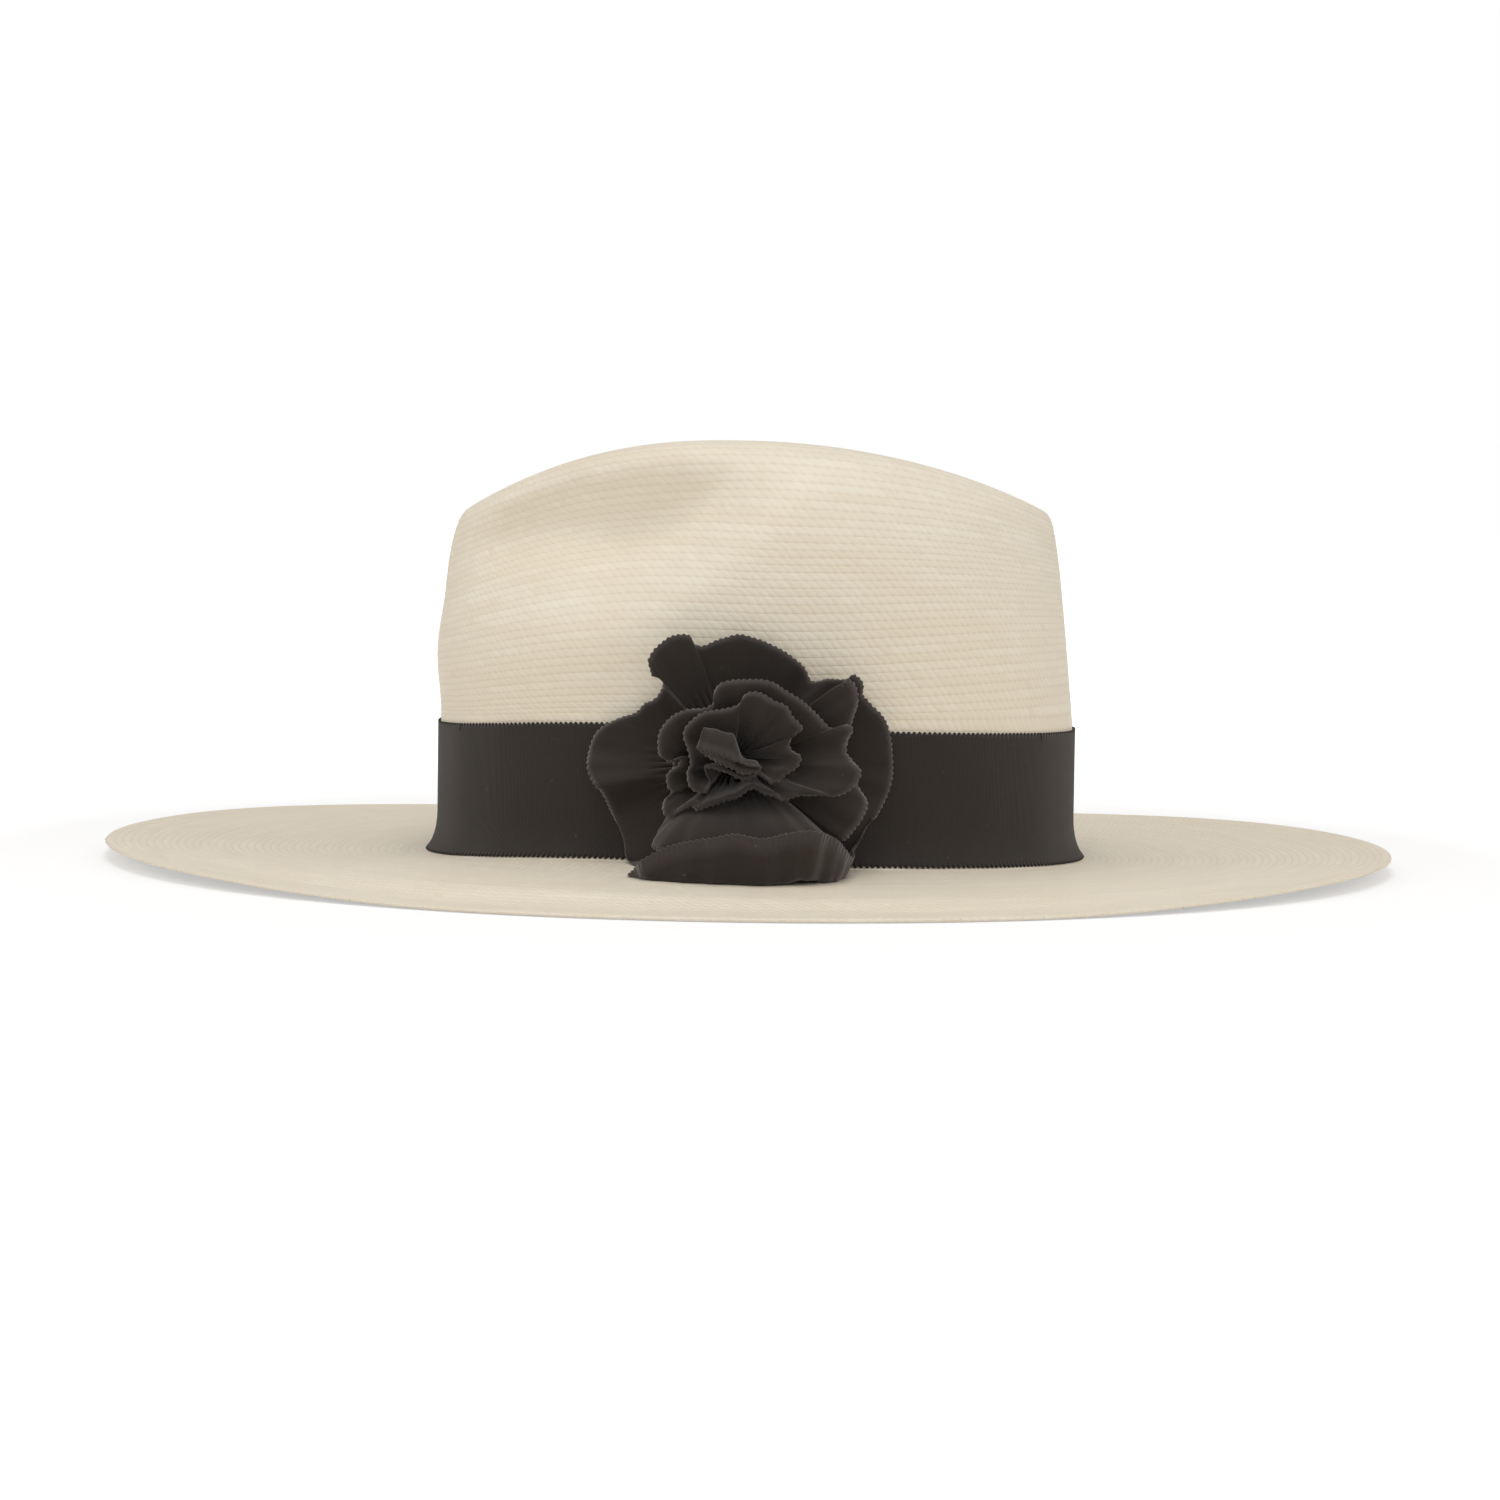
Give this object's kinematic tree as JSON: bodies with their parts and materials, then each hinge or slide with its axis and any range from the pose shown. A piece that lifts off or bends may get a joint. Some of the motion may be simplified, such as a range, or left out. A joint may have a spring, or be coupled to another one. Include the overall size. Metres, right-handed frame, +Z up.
{
  "type": "panama hat",
  "caption": "Woven straw panama hat with a flat wide brim, a pinched teardrop crown, a dark ribbon band and a gathered ribbon rosette, worn on the head as a sun hat.",
  "frame": {"origin": "centre of the brim's outline, in the plane that the brim's sides rest on", "axes": "+Z up through the crown, -X to the front of the hat, -Y to the wearer's left, where the rosette is"},
  "size_m": [0.409, 0.369, 0.1334],
  "materials": {
    "straw": "fine herringbone-woven natural straw",
    "grosgrain": "matt ribbed black grosgrain with picot edges",
    "rosette_ribbon": "black gathered ribbon with a slight sheen",
    "backing_felt": "stiff black felt",
    "sweatband_leather": "smooth tan leather",
    "reed": "tan covered reed",
    "tan_thread": "sewing thread",
    "black_thread": "sewing thread"
  },
  "bodies": {
    "root": {"straw_body": "straw", "hat_ribbon": "grosgrain", "sweatband": "sweatband_leather", "sweatband_reed": "reed", "sweatband_stitching": "tan_thread", "seam_bow_left_loop": "grosgrain", "seam_bow_right_loop": "grosgrain", "seam_bow_knot": "grosgrain", "rosette_backing": "backing_felt", "outer_ruffle": "rosette_ribbon", "second_ruffle": "rosette_ribbon", "middle_ruffle": "rosette_ribbon", "inner_ruffle": "rosette_ribbon", "centre_bud": "rosette_ribbon", "ribbon_tack_1": "black_thread", "ribbon_tack_2": "black_thread", "ribbon_tack_3": "black_thread", "ribbon_tack_4": "black_thread", "ribbon_tack_5": "black_thread", "ribbon_tack_6": "black_thread", "rosette_tack_1": "black_thread", "rosette_tack_2": "black_thread", "rosette_tack_3": "black_thread", "rosette_tack_4": "black_thread"}
  },
  "joints": []
}
